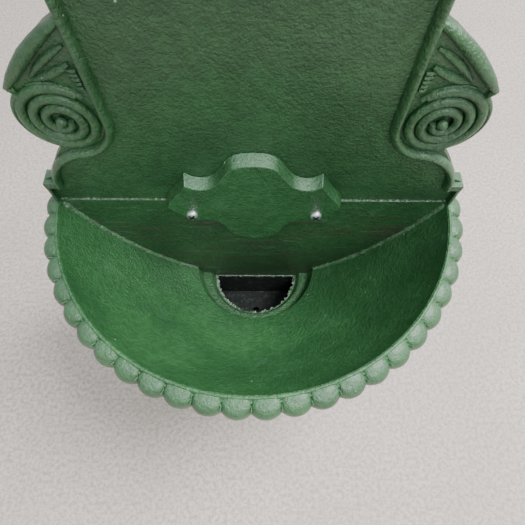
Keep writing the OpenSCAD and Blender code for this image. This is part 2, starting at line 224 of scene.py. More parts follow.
def turned(profile, centre, angle, steps):
    """Spins a profile of (radius, height) points about an upright line."""
    bm = bmesh.new()
    first = bm.verts.new((centre[0] + profile[0][0], centre[1], profile[0][1]))
    chain = [first]
    for radius, height in profile[1:]:
        made = bmesh.ops.extrude_vert_indiv(bm, verts=[chain[-1]])
        made["verts"][0].co = (centre[0] + radius, centre[1], height)
        chain.append(made["verts"][0])
    full = abs(abs(angle) - math.tau) < 1e-6
    bmesh.ops.spin(bm, geom=bm.verts[:] + bm.edges[:], cent=(centre[0], centre[1], 0.0),
                   axis=(0.0, 0.0, 1.0), dvec=(0.0, 0.0, 0.0), angle=angle, steps=steps,
                   use_merge=full, use_duplicate=False)
    bmesh.ops.remove_doubles(bm, verts=bm.verts, dist=1e-6)
    return bm


def sweep(points, radii, resolution=6):
    """A round bar along front-view points, whose radius may change on the way."""
    curve = bpy.data.curves.new("path", "CURVE")
    curve.dimensions = "3D"
    curve.bevel_depth = 1.0
    curve.bevel_resolution = resolution
    curve.use_fill_caps = True
    spline = curve.splines.new("POLY")
    spline.points.add(len(points) - 1)
    for k, (point, spot) in enumerate(zip(spline.points, points)):
        x, y, z = spot if len(spot) == 3 else (spot[0], 0.0, spot[1])
        point.co = (x, y, z, 1.0)
        point.radius = radii[k] if isinstance(radii, (list, tuple)) else radii
    holder = bpy.data.objects.new("path", curve)
    bpy.context.scene.collection.objects.link(holder)
    graph = bpy.context.evaluated_depsgraph_get()
    made = bpy.data.meshes.new_from_object(holder.evaluated_get(graph))
    bm = bmesh.new()
    bm.from_mesh(made)
    bpy.data.objects.remove(holder)
    bpy.data.curves.remove(curve)
    bpy.data.meshes.remove(made)
    bmesh.ops.remove_doubles(bm, verts=bm.verts, dist=1e-6)
    return bm


def finish_piece(name, bm, finish, bevel=0.0, sharp=35.0, stands_for=(),
                 placed=True, body="fountain", segments=3):
    """Turns a mesh under construction into a finished piece of the fountain."""
    if placed:
        move(bm, (0.0, FACE_Y, RIM_Z))
    bmesh.ops.remove_doubles(bm, verts=bm.verts, dist=1e-6)
    bmesh.ops.recalc_face_normals(bm, faces=bm.faces)
    for face in bm.faces:
        face.smooth = True
    limit = math.radians(sharp)
    for edge in bm.edges:
        edge.smooth = not (len(edge.link_faces) == 2 and edge.calc_face_angle(0.0) > limit)
    mesh = bpy.data.meshes.new(name)
    bm.to_mesh(mesh)
    bm.free()
    piece = bpy.data.objects.new(name, mesh)
    bpy.context.scene.collection.objects.link(piece)
    if bevel:
        edge = piece.modifiers.new("soft_edges", "BEVEL")
        edge.width = bevel
        edge.segments = segments
        edge.limit_method = "ANGLE"
        edge.angle_limit = limit
    mesh.materials.append(finish)
    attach(piece, body)
    if stands_for:
        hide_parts(*stands_for)
    return piece


def softened(node, finish, bevel, body="fountain"):
    """A copy of a frame piece with its edges eased, standing for it."""
    bm = bmesh.new()
    bm.from_mesh(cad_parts[node].data)
    bmesh.ops.remove_doubles(bm, verts=bm.verts, dist=2e-6)
    bmesh.ops.dissolve_limit(bm, angle_limit=math.radians(0.6), verts=bm.verts, edges=bm.edges)
    return finish_piece(node + "_eased", bm, finish, bevel, sharp=30.0, stands_for=(node,),
                        placed=False, body=body)


def repainted(node, finish):
    """Gives a frame piece that keeps its own shape its finish."""
    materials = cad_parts[node].data.materials
    materials.clear()
    materials.append(finish)


# ---- finishes ----


class Value:
    """One socket, so that sums on patterns read as sums."""

    def __init__(self, recipe, socket):
        self.recipe = recipe
        self.socket = socket

    def _sum(self, kind, first, second):
        return self.recipe.node("ShaderNodeMath", {"operation": kind}, {0: first, 1: second})

    def __add__(self, other):
        return self._sum("ADD", self, other)

    def __radd__(self, other):
        return self._sum("ADD", other, self)

    def __sub__(self, other):
        return self._sum("SUBTRACT", self, other)

    def __rsub__(self, other):
        return self._sum("SUBTRACT", other, self)

    def __mul__(self, other):
        return self._sum("MULTIPLY", self, other)

    def __rmul__(self, other):
        return self._sum("MULTIPLY", other, self)

    def __pow__(self, other):
        return self._sum("POWER", self, other)


class Recipe:
    """A material's nodes, made one by one."""

    def __init__(self, name):
        self.material = bpy.data.materials.new(name)
        self.material.use_nodes = True
        self.tree = self.material.node_tree
        self.tree.nodes.clear()
        self.place_in = self.node("ShaderNodeTexCoord", {}, {}, "Object")

    def node(self, kind, settings, sockets, output=0):
        """Makes one node: its settings first, then its values and links."""
        made = self.tree.nodes.new(kind)
        for key, value in settings.items():
            setattr(made, key, value)
        for key, value in sockets.items():
            if isinstance(value, Value):
                self.tree.links.new(value.socket, made.inputs[key])
            elif value is not None:
                made.inputs[key].default_value = value
        return Value(self, made.outputs[output])

    def stretched(self, scale, turn=(0.0, 0.0, 0.0)):
        """Object coordinates, stretched and turned."""
        return self.node("ShaderNodeMapping", {}, {"Vector": self.place_in, "Scale": scale,
                                                   "Rotation": turn})

    def noise(self, scale, detail=3.0, rough=0.55, at=None, warp=0.0):
        """Cloudy noise from 0 to 1."""
        return self.node("ShaderNodeTexNoise", {}, {"Vector": at or self.place_in, "Scale": scale,
                                                    "Detail": detail, "Roughness": rough,
                                                    "Distortion": warp})

    def cells(self, scale, output="Distance"):
        """Distance to the nearest of scattered points, or that point's own colour."""
        return self.node("ShaderNodeTexVoronoi", {"feature": "F1"},
                         {"Vector": self.place_in, "Scale": scale}, output)

    def chance(self, scale, channel):
        """A random value for each cell, from one channel of its colour."""
        return self.node("ShaderNodeSeparateColor", {}, {0: self.cells(scale, "Color")}, channel)

    def between(self, value, low, high, first=0.0, last=1.0):
        """Eases a value from first to last as it goes from low to high."""
        return self.node("ShaderNodeMapRange", {"interpolation_type": "SMOOTHSTEP"},
                         {"Value": value, "From Min": low, "From Max": high, "To Min": first,
                          "To Max": last})

    def axis(self, name):
        """Object X, Y or Z in metres."""
        return self.node("ShaderNodeSeparateXYZ", {}, {0: self.place_in}, name)

    def facing(self, name):
        """How far the surface faces along an axis."""
        normal = self.node("ShaderNodeNewGeometry", {}, {}, "Normal")
        return self.node("ShaderNodeSeparateXYZ", {}, {0: normal}, name)

    def mix(self, amount, first, second):
        """Blends two colours."""
        pair = [colour if isinstance(colour, Value) else tuple(colour) + (1.0,)
                for colour in (first, second)]
        return self.node("ShaderNodeMix", {"data_type": "RGBA"},
                         {0: amount, 6: pair[0], 7: pair[1]}, 2)

    def surface(self, colour, roughness, height=None, depth=0.0005, strength=0.5, metallic=0.0,
                constants=None):
        """Ends the recipe with its shader."""
        sockets = {"Base Color": colour, "Roughness": roughness, "Metallic": metallic}
        if height is not None:
            sockets["Normal"] = self.node("ShaderNodeBump", {}, {"Strength": strength,
                                                                 "Distance": depth,
                                                                 "Height": height})
        sockets.update(constants or {})
        shader = self.node("ShaderNodeBsdfPrincipled", {}, sockets)
        end = self.tree.nodes.new("ShaderNodeOutputMaterial")
        self.tree.links.new(shader.socket, end.inputs["Surface"])
        return self.material


FINISHES = {}


def mixed_once(make):
    """Mixes a finish when it is first asked for and keeps it under its name."""
    def kept(name=make.__name__, *changes, **named):
        if name not in FINISHES:
            FINISHES[name] = make(name, *changes, **named)
        return FINISHES[name]
    return kept


@mixed_once
def gloss_paint(name, worn=0.0, streaks=0.0, painted_light=1.0, chips=None, hollow=0.0, top_sheen=0.0):
    """Green gloss over a fine cast skin, with pale nicks.

    chips is a band of heights and hollow an inner radius; a factor gives each part a lighter or darker copy
    of the paint as painted light or shade, and a share pales what faces up as a painted sheen.
    """
    c = colours()
    # Painted light and shade: the paint's colours are scaled up or down for each part.
    shade = lambda rgb: tuple(min(1.0, v * painted_light) for v in rgb)
    r = Recipe(name)
    clouds = r.between(r.noise(11.0, 4.0, 0.62), 0.34, 0.66)
    colour = r.mix(clouds, shade(c.green_dark), shade(c.green))
    mottle = r.between(r.noise(150.0, 4.0, 0.65), 0.36, 0.66)
    colour = r.mix(mottle * 0.45, colour, shade(tuple(0.62 * v for v in c.green_dark)))
    chalky = r.between(r.noise(26.0, 7.0, 0.74, warp=0.1), 0.50, 0.78)
    colour = r.mix(chalky * (0.32 + worn), colour, shade(c.green_pale))
    skin = r.noise(520.0, 4.0, 0.6)
    lumps = r.noise(300.0, 4.0, 0.6)
    nick = r.between(r.cells(40.0), 0.030, 0.048, 1.0, 0.0)
    rare = r.between(r.chance(40.0, 0), 0.76, 0.78)
    colour = r.mix(nick * rare * 0.85, colour, tuple(c.chalk))
    flecks = r.between(r.cells(150.0), 0.05, 0.14, 1.0, 0.0)
    some = r.between(r.chance(150.0, 1), 0.82, 0.86)
    colour = r.mix(flecks * some * 0.45, colour, tuple(c.chalk))
    height = skin * 0.70 + lumps * 1.1 + mottle * 0.25
    if streaks:
        drag = r.noise(34.0, 5.0, 0.68, at=r.stretched((0.40, 1.0, 4.2)))
        # Dust in the drag streaks, with painted shade: the streaks darken only towards the bottom of the
        # wall, where the bowl shades it.
        grime_and_shade = r.between(drag, 0.44, 0.66)
        low = r.between(r.axis("Z") + r.noise(14.0) * 0.10, 0.30, 0.345, 1.0, 0.0)
        colour = r.mix(grime_and_shade * low * streaks * 0.8, colour, tuple(c.rust))
        runs = r.stretched((0.30, 1.0, 2.6), (0.0, 0.12, 0.0))
        pale = r.between(r.noise(70.0, 5.0, 0.72, at=runs), 0.56, 0.70)
        colour = r.mix(pale * 0.5 * streaks, colour, shade(c.green_pale))
        height = height + drag * 0.8
    roughness = 0.25 + skin * 0.16 + chalky * 0.14
    if chips:
        low, high = chips
        edge = r.axis("Z") + r.noise(420.0, 4.0, 0.7) * 0.0045 + r.noise(60.0, 2.0) * 0.003
        bare = r.between(edge, low, high)
        flake = r.between(r.noise(300.0, 5.0, 0.7), 0.40, 0.58)
        colour = r.mix(bare * flake * 0.9, colour, tuple(c.chalk))
        roughness = roughness + bare * 0.25
    # Painted sheen: what faces up is paled towards a light green, as if it caught the sky.
    if top_sheen:
        up = r.between(r.facing("Z") + (lumps - 0.5) * 0.5, 0.60, 1.02)
        colour = r.mix(up * top_sheen, colour, tuple(1.15 * v for v in c.green_pale))
    if hollow:
        x, y = r.axis("X"), r.axis("Y") + 0.014
        inside = r.between((x * x + y * y) ** 0.5, hollow, hollow + 0.0004, 1.0, 0.0)
        scale = r.between(r.noise(130.0, 5.0, 0.7), 0.50, 0.66)
        colour = r.mix(inside, colour, r.mix(scale * 0.8, (0.010, 0.016, 0.013), (0.062, 0.074, 0.064)))
        roughness = roughness + inside * 0.3
    return r.surface(colour, roughness, height, 0.0014, 0.85,
                     constants={"Coat Weight": 0.18, "Coat Roughness": 0.20})


def relief_paint():
    """The paint of the raised mouldings: a darker copy of the green as painted shade, with a painted sheen
    where they face up.
    """
    return gloss_paint("relief_paint", -0.05, 0.0, 0.88, top_sheen=0.30)


@mixed_once
def chipped_paint(name):
    """Pale flaking paint at a raw edge."""
    c = colours()
    r = Recipe(name)
    flakes = r.between(r.noise(260.0, 5.0, 0.7), 0.44, 0.56)
    colour = r.mix(flakes, tuple(c.green_pale), tuple(c.chalk))
    dirt = r.between(r.noise(120.0, 4.0, 0.6), 0.55, 0.70)
    colour = r.mix(dirt * 0.7, colour, tuple(c.green_dark))
    return r.surface(colour, 0.6 + flakes * 0.2, r.noise(500.0), 0.001, 0.7)


@mixed_once
def scuffed_paint(name):
    """Paint rubbed thin and pale along a corner."""
    c = colours()
    r = Recipe(name)
    rubbed = r.between(r.noise(300.0, 5.0, 0.75), 0.42, 0.62)
    colour = r.mix(rubbed * 0.75, tuple(c.green), tuple(c.green_pale))
    bare = r.between(r.noise(430.0, 4.0, 0.7), 0.54, 0.64)
    colour = r.mix(bare * 0.42, colour, tuple(c.chalk))
    dirt = r.between(r.noise(60.0, 4.0, 0.6), 0.50, 0.68)
    colour = r.mix(dirt * 0.65, colour, tuple(c.rust))
    return r.surface(colour, 0.42 + rubbed * 0.2, r.noise(420.0, 4.0), 0.0015, 0.7)


@mixed_once
def plated_steel(name):
    """Zinc-plated screws with light wear."""
    c = colours()
    r = Recipe(name)
    stain = r.between(r.noise(420.0, 4.0, 0.6), 0.45, 0.75)
    colour = r.mix(stain * 0.6, tuple(c.zinc), (0.30, 0.30, 0.29))
    return r.surface(colour, 0.42 + stain * 0.2, r.noise(900.0), 0.0002, 0.3, 1.0)


@mixed_once
def worn_brass(name):
    """Satin brass with darker patches of patina."""
    c = colours()
    r = Recipe(name)
    patina = r.between(r.noise(70.0, 5.0, 0.62), 0.42, 0.72)
    colour = r.mix(patina * 0.7, tuple(c.brass), (0.22, 0.15, 0.07))
    spots = r.between(r.noise(300.0, 3.0, 0.6), 0.60, 0.72)
    colour = r.mix(spots * 0.5, colour, (0.12, 0.10, 0.06))
    return r.surface(colour, 0.24 + patina * 0.22, r.noise(800.0), 0.0002, 0.35, 1.0)


@mixed_once
def black_rubber(name):
    """Matt gasket rubber."""
    r = Recipe(name)
    dust = r.between(r.noise(200.0, 4.0), 0.5, 0.8)
    colour = r.mix(dust, (0.018, 0.018, 0.018), (0.06, 0.06, 0.055))
    return r.surface(colour, 0.7 + dust * 0.2, r.noise(900.0), 0.0002, 0.4)


@mixed_once
def pale_floor(name):
    """Plain pale studio floor with a faint stone grain."""
    c = colours()
    r = Recipe(name)
    grain = r.between(r.noise(190.0, 6.0, 0.75), 0.36, 0.62)
    broad = r.between(r.noise(4.0, 4.0, 0.62), 0.30, 0.72)
    pits = r.between(r.noise(90.0, 5.0, 0.72), 0.60, 0.74)
    colour = r.mix(grain, tuple(0.66 * v for v in c.ground), tuple(1.16 * v for v in c.ground))
    colour = r.mix(broad * 0.40, colour, tuple(0.70 * v for v in c.ground))
    colour = r.mix(pits * 0.45, colour, tuple(0.42 * v for v in c.ground))
    return r.surface(colour, 0.9, grain, 0.001, 0.3)


# ---- the basin ----


def bowl_half(drop, grow=0.0):
    """Half width of the bowl at a drop below the rim, as a share of its depth."""
    return (sizes().bowl_radius + grow) * (1.0 - drop ** 1.2) ** (1.0 / 2.1)


def bowl_curve(low_radius, grow, steps=40):
    """(radius, height) from the rim down to a radius near the bottom."""
    deep = sizes().bowl_depth + grow
    points = []
    for k in range(steps + 1):
        drop = math.sin(math.pi / 2 * k / steps) ** 1.5 * 0.985
        radius = bowl_half(drop, grow)
        if radius < low_radius:
            break
        points.append((radius, -deep * drop))
    low = 1.0 - (low_radius / (sizes().bowl_radius + grow)) ** 2.1
    points.append((low_radius, -deep * low ** (1.0 / 1.2)))
    return points


class FOUNTAIN_OT_basin(bpy.types.Operator):
    """Casts the bowl with its lip, its flat back wall and the recessed drain seat"""

    bl_idname = "fountain.basin"
    bl_label = "Basin"

    def execute(self, context):
        s = sizes()
        inner = bowl_curve(s.ring_radius, 0.0)
        outer = bowl_curve(s.flange_radius - 0.002, s.wall)
        lip_out = s.bowl_radius + s.lip
        profile = [(s.ring_radius, -s.joint_depth), (s.ring_radius, -s.ring_depth - 0.001)]
        profile += [(s.ring_radius + 0.0002, inner[-1][1] - 0.0022),
                    (s.ring_radius + 0.0012, inner[-1][1] - 0.0006)]
        profile += inner[::-1][1:-1]
        profile += [(s.bowl_radius, -0.0016), (s.bowl_radius + 0.0006, -0.0004),
                    (s.bowl_radius + 0.0016, 0.0), (lip_out - 0.0006, -0.0003),
                    (lip_out, -0.0012), (lip_out + 0.0002, -0.0032),
                    (lip_out + 0.0010, -0.0040), (lip_out + 0.0030, -0.0036),
                    (lip_out + 0.0040, -0.0200), (lip_out + 0.0030, -s.tongue),
                    (lip_out - 0.0010, -s.tongue - 0.0010)]
        profile += [p for p in outer if p[1] < -s.tongue - 0.004]
        profile += [(s.flange_radius, outer[-1][1] - 0.004), (s.flange_radius, -s.joint_depth)]
        bm = turned(profile, (0.0, s.bowl_setback), -math.pi, 160)
        for side in (1, -1):
            rim = [e for e in bm.edges if e.is_boundary
                   and all(abs(v.co.y - s.bowl_setback) < 1e-5 and v.co.x * side > 0 for v in e.verts)]
            bmesh.ops.holes_fill(bm, edges=rim, sides=0)
        # Painted light: the bowl gets a much lighter copy of the green.
        finish_piece("basin_bowl", bm, gloss_paint("bowl_paint", -0.12, 0.0, 1.42),
                     stands_for=("basin",), sharp=40)

        wall = Outline(0.0, 0.0).to(s.bowl_radius + 0.002, 0.0)
        wall.along([(r + 0.004, z) for r, z in bowl_curve(s.ring_radius + 0.004, 0.0)][2:])
        opening, sill = 0.0555, -0.1975
        wall.to(s.ring_radius + 0.004, -s.joint_depth).to(opening, -s.joint_depth)
        wall.to(opening, sill).to(0.0, sill)
        bm = wall.mirrored().slab(-s.back_front, s.bowl_setback)
        top_edge = (RIM_Z + 0.0024, RIM_Z + 0.0056)
        # Painted shade: the back wall gets a darker copy of the green.
        coat = gloss_paint("wall_paint", -0.05, 1.15, 0.92, chips=top_edge)
        finish_piece("basin_back_wall", bm, coat, bevel=0.0006, segments=2)
        self.seat(s)
        self.corner(s)
        return {"FINISHED"}

    def seat(self, s):
        """Steps of the drain seat down to its ragged opening."""
        rng = random.Random(7)
        rings = [(s.ring_radius + 0.0005, s.bowl_setback, -s.ring_depth + 0.0020, 0.0),
                 (s.ring_radius - 0.0012, s.bowl_setback, -s.ring_depth + 0.0002, 0.0),
                 (0.0775, 0.0040, -0.1835, 0.0), (0.0752, 0.0030, -0.1866, 0.0),
                 (0.0740, 0.0025, -0.1874, 0.0), (0.0690, 0.0010, -0.1876, 0.0),
                 (0.0642, -0.0006, -0.1872, 0.0),
                 (0.0630, -0.0010, -0.1878, 0.0), (0.0612, -0.0015, -0.1900, 0.0),
                 (0.0588, -0.0025, -0.1945, 0.0),
                 (0.0578, -0.0028, -0.1956, 0.0003),
                 (0.0562, -0.0032, -0.1958, 0.0006), (0.0545, -0.0034, -0.1968, 0.0022),
                 (0.0548, -0.0034, -0.2005, 0.0012), (0.0800, 0.0045, -0.2018, 0.0)]
        bm = bmesh.new()
        loops = []
        for radius, y, z, rag in rings:
            made = bmesh.ops.create_circle(bm, cap_ends=False, segments=192, radius=radius)
            bmesh.ops.translate(bm, verts=made["verts"], vec=(0.0, y, z))
            edges = list({e for v in made["verts"] for e in v.link_edges})
            for v in made["verts"]:
                if rag:
                    shift = rng.uniform(-rag, rag)
                    v.co += Vector((v.co.x, v.co.y, 0.0)).normalized() * shift
                    v.co.z += rng.uniform(-rag, rag) * 0.4
            loops.append(edges)
        for first, second in zip(loops, loops[1:]):
            bmesh.ops.bridge_loops(bm, edges=first + second)
        cut = bmesh.ops.bisect_plane(bm, geom=bm.verts[:] + bm.edges[:] + bm.faces[:],
                                     plane_co=(0.0, 0.002, 0.0), plane_no=(0.0, 1.0, 0.0),
                                     clear_outer=True)
        rims = [e for e in cut["geom_cut"] if isinstance(e, bmesh.types.BMEdge)]
        bmesh.ops.holes_fill(bm, edges=rims, sides=0)
        ragged = (RIM_Z - 0.1908, RIM_Z - 0.1935)
        # Painted light: the drain seat gets a lighter copy of the green.
        coat = gloss_paint("seat_paint", 0.10, 0.0, 1.25, chips=ragged)
        finish_piece("drain_seat", bm, coat, sharp=50)

    def corner(self, s):
        """The narrow cast fillet where the bowl meets its back wall, and the chipped edges."""
        reach = s.bowl_setback + s.back_front
        path = []
        for radius, height in bowl_curve(s.ring_radius + 0.002, 0.0, 60)[3:]:
            path.append((math.sqrt(radius * radius - reach * reach), -s.back_front, height))
        rng = random.Random(5)
        rough = [0.0031 + rng.uniform(-0.0006, 0.0011) for _ in path]
        bm = sweep(path, rough, 4)
        left = sweep([(-x, y, z) for x, y, z in path], rough[::-1], 4)
        finish_piece("corner_fillet", join(bm, left), scuffed_paint(), sharp=60)

        rng = random.Random(3)
        low = -0.1968
        strip = Outline(-0.0560, low).to(0.0560, low)
        x = 0.0560
        while x > -0.0545:
            strip.to(x, low - 0.0016 - abs(rng.gauss(0.0, 0.0022)))
            x -= rng.uniform(0.0010, 0.0026)
        strip.to(-0.0560, low - 0.0012)
        bm = strip.slab(-s.back_front - 0.0006, -s.back_front + 0.0012)
        finish_piece("chipped_back_edge", bm, chipped_paint(), sharp=30)


class FOUNTAIN_OT_gadroons(bpy.types.Operator):
    """Sets the row of gadroon tongues round the rim"""

    bl_idname = "fountain.gadroons"
    bl_label = "Gadroons"

    def execute(self, context):
        s = sizes()
        count, pitch = 26, math.pi / 25.6
        bulge, half_width = 0.0195, 0.0131
        flat, drop = 0.01444, 0.00506
        inner = s.bowl_radius + s.lip + 0.0006
        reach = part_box("basin")[1][0] - inner - 0.0002
        bm = bmesh.new()
        bmesh.ops.create_grid(bm, x_segments=18, y_segments=20, size=1.0)
        for v in bm.verts:
            u, w = abs(v.co.x) ** 0.8, (v.co.y + 1.0) / 2.0
            turn = w * math.pi
            arc = (math.sqrt(bulge ** 2 - (half_width * u) ** 2) - flat) / drop
            crown = math.sqrt(max(0.0, 1.0 - u ** 2.6))
            out = (reach - 0.0056 + 0.0056 * arc) * math.sin(turn) ** 0.85 if w < 0.9999 else -0.004
            down = s.tongue / 2 * (1.0 - math.cos(turn)) + 0.0012
            down += (1.0 - crown) * 0.0042 * max(0.0, 1.0 - w * 1.4)
            angle = math.copysign(u, v.co.x) * pitch / 2
            radius = inner + out - 0.0006 * (1.0 - w)
            v.co = (radius * math.sin(angle), s.bowl_setback - radius * math.cos(angle), -down)
        rib = bmesh.new()
        bmesh.ops.create_cone(rib, cap_ends=True, segments=8, radius1=0.0008, radius2=0.0008, depth=0.0105)
        swing(rib, math.radians(68.0), "X")
        move(rib, (0.0, s.bowl_setback - inner - 0.0045, -0.0064))
        swing(rib, pitch / 2, "Z", (0.0, s.bowl_setback, 0.0))
        join(bm, rib)
        copies = []
        for k in range(count):
            other = bm.copy()
            swing(other, (k - count / 2 + 0.5) * pitch, "Z", (0.0, s.bowl_setback, 0.0))
            copies.append(other)
        self.close_end(copies[0], -count * pitch / 2, inner - 0.010)
        self.close_end(copies[-1], count * pitch / 2, inner - 0.010)
        bm.free()
        row = join(bmesh.new(), *copies)
        bmesh.ops.remove_doubles(row, verts=row.verts, dist=1e-5)
        # Painted light and sheen: a slightly lighter copy of the green, paled on top.
        finish_piece("gadroon_rim", row, gloss_paint("rim_paint", 0.0, 0.0, 1.05, top_sheen=0.30), sharp=48)
        return {"FINISHED"}

    def close_end(self, bm, angle, radius):
        """Draws the open end of the row's last tongue in to the bowl's wall."""
        middle = sizes().bowl_setback
        end = [e for e in bm.edges if e.is_boundary and all(
            abs(math.atan2(v.co.x, middle - v.co.y) - angle) < 1e-4 for v in e.verts)]
        if not end:
            raise RuntimeError("the end of the tongue row was not found")
        for v in bmesh.ops.extrude_edge_only(bm, edges=end)["geom"]:
            if isinstance(v, bmesh.types.BMVert):
                v.co = (radius * math.sin(angle), middle - radius * math.cos(angle), v.co.z)


# ---- the back plate ----


def volute_middle():
    """Where the right volute's middle stands: across and above the rim."""
    return 0.1490, 0.1115


def arch_size():
    """Half span, rise and radius of the arched top."""
    span = sizes().panel_half + sizes().border + 0.010
    rise = 0.070
    return span, rise, (span * span + rise * rise) / (2 * rise)


def plate_shoulder():
    """The plate's edge from its side lug up to the volute."""
    points = [(0.1916, 0.0310), (0.1908, 0.0370), (0.1880, 0.0450), (0.1838, 0.0530), (0.1780, 0.0615),
              (0.1715, 0.0700), (0.1665, 0.0765)]
    turn_x, volute_z = volute_middle()
    end = math.radians(-62.0)
    return points + [(turn_x + 0.0362 * math.cos(end), volute_z + 0.0362 * math.sin(end))]


def border_run():
    """The border's middle line, from the lug round the volute and up to the cornice."""
    s = sizes()
    points = [(0.1884, 0.0245), (0.1883, 0.0305), (0.1876, 0.0360), (0.1858, 0.0415),
              (0.1828, 0.0478), (0.1780, 0.0548), (0.1720, 0.0612),
              (0.1650, 0.0668), (0.1575, 0.0708), (0.1490, 0.0735)]
    middle_x, middle_z = 0.1490, 0.1100
    for k in range(1, 17):
        a = math.radians(270.0 - 90.0 * k / 16)
        squash = 1.0 - 0.05 * k / 16
        points.append((middle_x + 0.0345 * math.cos(a), middle_z + 0.0365 * math.sin(a) * squash))
    return points + [(0.1142, 0.1500), (0.1138, 0.2000), (0.1136, 0.2700), (0.1136, s.cornice - 0.002)]


class FOUNTAIN_OT_back_plate(bpy.types.Operator):
    """Casts the panel, its arched top, the lower panel and the foot"""

    bl_idname = "fountain.back_plate"
    bl_label = "Back plate"

    def execute(self, context):
        s = sizes()
        turn_x, volute_z = volute_middle()
        width = s.bowl_radius + 0.0025
        # Painted shade and sheen: the upright plate gets a darker copy of the green, paled where it faces
        # up.
        coat = gloss_paint("plate_paint", -0.18, 0.0, 0.82, top_sheen=0.4)
        half = Outline(0.0, 0.0).to(width, 0.0).to(width, 0.0310)
        half.along(plate_shoulder()[1:])
        half.arc(turn_x, volute_z, 112.0, 22)
        half.along([(0.1795, 0.1360), (0.1745, 0.1445), (0.1680, 0.1530), (0.1600, 0.1620),
                    (0.1500, 0.1720), (0.1400, 0.1808), (0.1300, 0.1885), (0.1195, 0.1950)])
        half.to(s.panel_half + s.border, 0.2000).to(s.panel_half + s.border, s.cornice)
        half.to(0.0, s.cornice)
        bm = half.mirrored().slab(0.0, s.panel)
        bm = join(bm, self.arch(s, 0.0, s.panel), self.rims(s, turn_x, volute_z, width),
                  self.lower(s), self.bosses(s))
        finish_piece("plate_panel", bm, coat, bevel=0.0012, stands_for=("back_plate",), segments=2)
        return {"FINISHED"}

    def arch(self, s, front, back):
        """The arched top as a slab."""
        half, rise, radius = arch_size()
        sweep_angle = math.degrees(math.asin(half / radius))
        outline = Outline(half, s.cornice).arc(0.0, s.cornice + rise - radius, 2 * sweep_angle, 40)
        return outline.slab(front, back)

    def rims(self, s, turn_x, volute_z, width):
        """The deep edge of the casting beside the panel, its shoulders, lugs and ribs."""
        parts = []
        for side in (1, -1):
            o = Outline(side * s.panel_half, 0.2000).to(side * (s.panel_half + s.border), 0.2000)
            o.to(side * (s.panel_half + s.border), s.cornice).to(side * s.panel_half, s.cornice)
            parts.append(o.slab(0.001, s.casting))
            edge = [(side * x, z) for x, z in plate_shoulder()]
            o = Outline(side * 0.1930, 0.0).along(edge[:-1])
            o.along([(side * (x - 0.010), z - 0.006) for x, z in plate_shoulder()[-2::-1]])
            o.to(side * 0.1830, 0.0)
            parts.append(o.slab(0.001, s.casting - 0.0004))
            o = Outline(side * 0.1906, 0.0240).to(side * width, 0.0240).to(side * width, 0.0315)
            o.to(side * 0.1906, 0.0315)
            parts.append(o.slab(-s.relief, s.casting))
            o = Outline(side * 0.1992, 0.0004).to(side * width, 0.0004).to(side * width, 0.0245)
            o.to(side * 0.1992, 0.0245)
            parts.append(o.slab(-s.relief + 0.0004, s.casting - 0.0003))
            a = math.radians(-62.0)
            o = Outline(side * (turn_x + 0.0360 * math.cos(a)), volute_z + 0.0360 * math.sin(a))
            for k in range(1, 19):
                a = math.radians(-62.0 + 112.0 * k / 18)
                o.to(side * (turn_x + 0.0360 * math.cos(a)), volute_z + 0.0360 * math.sin(a))
            o.to(side * (turn_x + 0.0100), volute_z + 0.0180)
            o.to(side * (turn_x + 0.0100), volute_z - 0.0250)
            bm = o.slab(0.001, s.casting)
            parts.append(bm)
        parts.append(self.arch(s, s.panel - 0.001, s.casting))
        return join(parts[0], *parts[1:])

    def lower(self, s):
        """The panel behind the basin and the foot pad."""
        half = Outline(0.0, 0.010).to(s.bowl_radius - 0.008, 0.010).to(s.bowl_radius - 0.008, -0.020)
        points = [p for p in bowl_curve(s.flange_radius, s.wall) if p[1] < -0.020]
        half.along(points).to(s.flange_radius, -RIM_Z).to(0.0, -RIM_Z)
        lower = half.mirrored().slab(0.0051, s.casting)
        foot = Outline(-s.flange_radius, -RIM_Z).to(s.flange_radius, -RIM_Z)
        foot.to(s.flange_radius, 0.010 - RIM_Z).to(-s.flange_radius, 0.010 - RIM_Z)
        return join(lower, foot.slab(s.casting - 0.001, 0.024))

    def bosses(self, s):
        """Rings behind the panel for the wall bolts."""
        parts = []
        for x in (-0.086, 0.086):
            for z in (s.cornice - 0.024, s.cornice - 0.124):
                bm = bmesh.new()
                bmesh.ops.create_circle(bm, cap_ends=False, segments=32, radius=0.0045)
                bmesh.ops.create_circle(bm, cap_ends=False, segments=32, radius=0.012)
                bmesh.ops.bridge_loops(bm, edges=bm.edges[:])
                thicken(bm, (0.0, 0.0, 0.0165))
                swing(bm, math.radians(-90.0), "X")
                move(bm, (x, 0.0075, z))
                parts.append(bm)
        return join(parts[0], *parts[1:])


class FOUNTAIN_OT_border(bpy.types.Operator):
    """Lays the rounded border that runs from the seam round the volutes to the cornice"""

    bl_idname = "fountain.border"
    bl_label = "Border"

    def execute(self, context):
        path = border_run()
        parts = []
        for side in (1, -1):
            bm = sweep([(side * x, z) for x, z in path], 0.0042, 7)
            stretch(bm, (1.0, 1.95, 1.0))
            move(bm, (0.0, 0.0004, 0.0))
            parts.append(bm)
        finish_piece("plate_border", join(*parts), relief_paint(), sharp=50)
        return {"FINISHED"}


